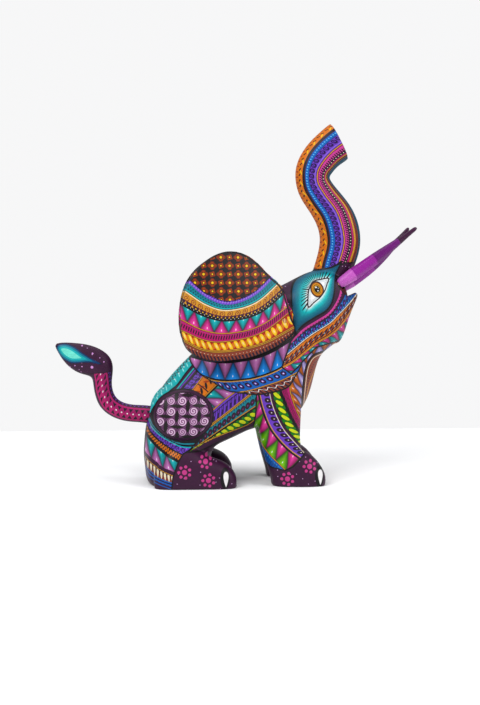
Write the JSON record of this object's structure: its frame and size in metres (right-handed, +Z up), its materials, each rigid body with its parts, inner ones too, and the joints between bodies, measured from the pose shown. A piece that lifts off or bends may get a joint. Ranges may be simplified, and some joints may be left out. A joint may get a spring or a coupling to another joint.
{
  "type": "carved elephant figure",
  "caption": "Carved and painted wooden elephant sitting with its trunk raised; ears, tail and tusks are separate and pull off their wooden pegs.",
  "frame": {"origin": "centre of the bounding box at the soles", "axes": "+X forward, out of the face; +Y to the elephant's left; +Z up"},
  "size_m": [0.3021, 0.1224, 0.2997],
  "materials": {
    "painted_wood": "satin acrylic paint in fine patterns",
    "tusk_paint": "satin purple paint in four shades",
    "peg_wood": "bare whittled wood"
  },
  "bodies": {
    "block": {"body_carving": "painted_wood"},
    "right_ear_body": {"right_ear": "painted_wood", "right_ear_upper_peg": "peg_wood", "right_ear_lower_peg": "peg_wood"},
    "left_ear_body": {"left_ear": "painted_wood", "left_ear_upper_peg": "peg_wood", "left_ear_lower_peg": "peg_wood"},
    "tail_body": {"tail": "painted_wood", "tail_tenon": "peg_wood"},
    "right_tusk_body": {"right_tusk": "tusk_paint", "right_tusk_peg": "peg_wood"},
    "left_tusk_body": {"left_tusk": "tusk_paint", "left_tusk_peg": "peg_wood"}
  },
  "joints": [
    {"name": "right_ear_pull", "type": "slide", "parent": "block", "child": "right_ear_body", "axis": [0.2396, -0.9609, 0.1392], "range_m": [0, 0.02]},
    {"name": "left_ear_pull", "type": "slide", "parent": "block", "child": "left_ear_body", "axis": [0.2396, 0.9609, 0.1392], "range_m": [0, 0.02]},
    {"name": "tail_pull", "type": "slide", "parent": "block", "child": "tail_body", "axis": [-0.9781, 0, 0.2079], "range_m": [0, 0.022]},
    {"name": "right_tusk_pull", "type": "slide", "parent": "block", "child": "right_tusk_body", "axis": [0.8111, 0.0698, 0.5807], "range_m": [0, 0.018]},
    {"name": "left_tusk_pull", "type": "slide", "parent": "block", "child": "left_tusk_body", "axis": [0.7494, -0.0698, 0.6584], "range_m": [0, 0.018]}
  ]
}
